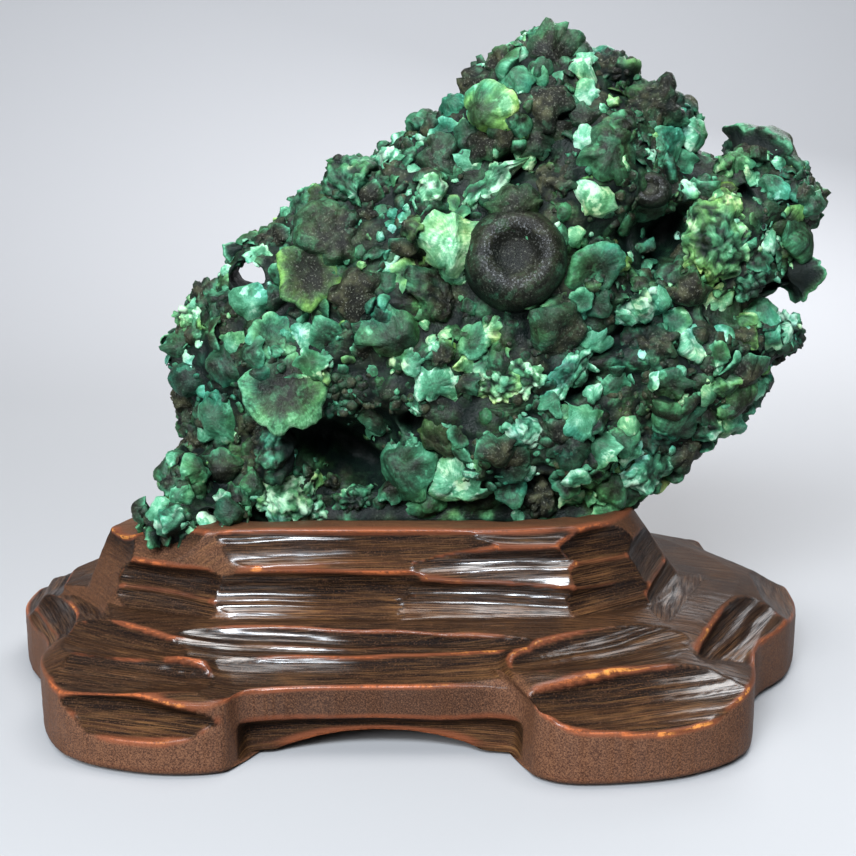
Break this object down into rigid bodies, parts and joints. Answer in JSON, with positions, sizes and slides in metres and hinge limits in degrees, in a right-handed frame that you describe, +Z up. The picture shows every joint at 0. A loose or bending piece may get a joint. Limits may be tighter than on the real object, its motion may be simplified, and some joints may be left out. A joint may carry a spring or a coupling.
{
  "type": "malachite specimen on a carved wooden stand",
  "caption": "Botryoidal green malachite specimen resting in the hollow of a low two-tier gouge-carved hardwood display stand.",
  "frame": {"origin": "middle of the stand's underside, on the surface that it stands on", "axes": "+X to the right along the stand's length, +Y towards the back, +Z up"},
  "size_m": [0.1651, 0.1149, 0.1305],
  "materials": {
    "malachite": "velvety dark to mid green knobs with pale mint broken edges, matt to silky",
    "stand_wood": "dark brown stain under satin varnish, rubbed orange-brown along the gouge ridges"
  },
  "bodies": {
    "root": {"malachite": "malachite", "carved_stand": "stand_wood"}
  },
  "joints": []
}
